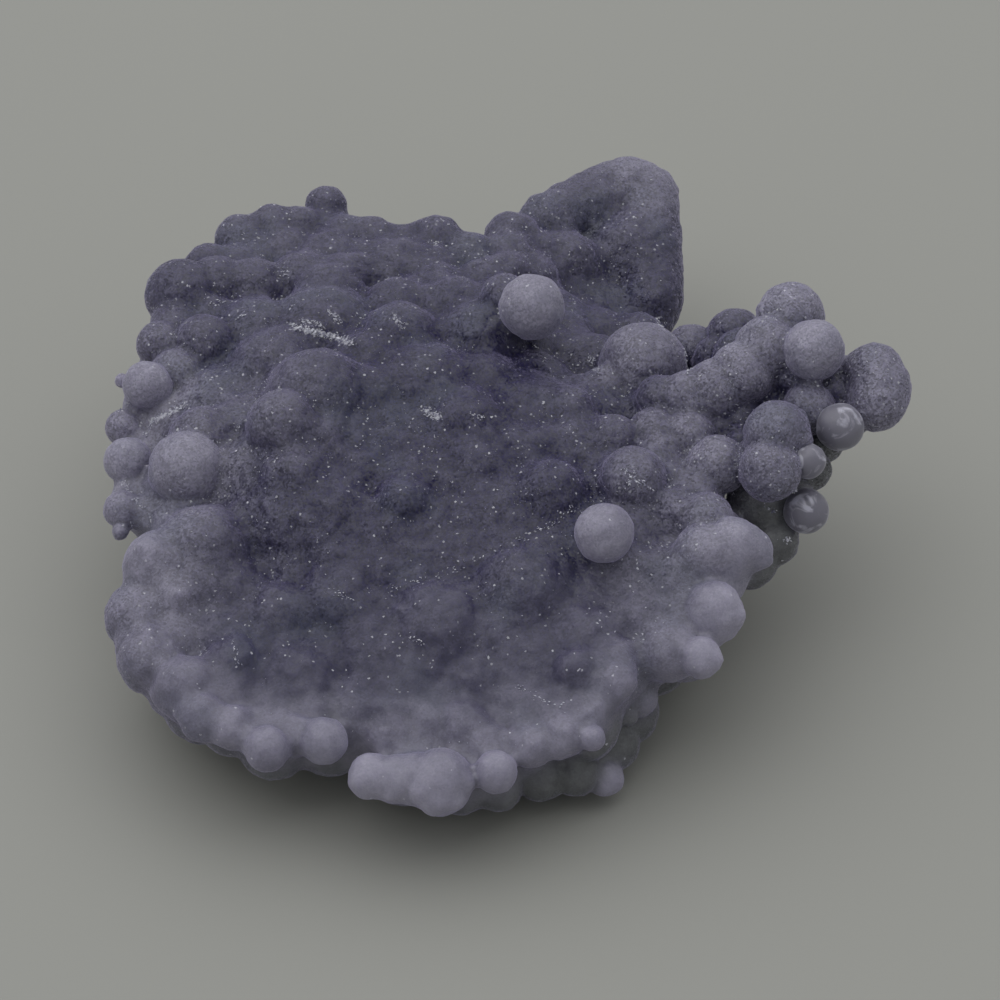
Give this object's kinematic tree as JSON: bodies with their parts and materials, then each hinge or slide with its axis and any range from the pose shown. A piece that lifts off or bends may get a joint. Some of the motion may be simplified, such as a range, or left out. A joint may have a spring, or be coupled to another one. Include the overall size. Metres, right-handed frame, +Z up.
{
  "type": "grape agate specimen",
  "caption": "Botryoidal chalcedony plate with fused violet-grey berries, a raised tongue and a side branch, resting on a flat cut.",
  "frame": {"origin": "middle of the bounding box in plan, on the flat cut that the stone rests on", "axes": "+Z up, -Y toward the thin front rim, +Y toward the tongue at the back, +X toward the side branch of berries"},
  "size_m": [0.0613, 0.0701, 0.0236],
  "materials": {
    "chalcedony": "druzy quartz skin over translucent violet-grey chalcedony"
  },
  "bodies": {
    "root": {"grape_agate": "chalcedony"}
  },
  "joints": []
}
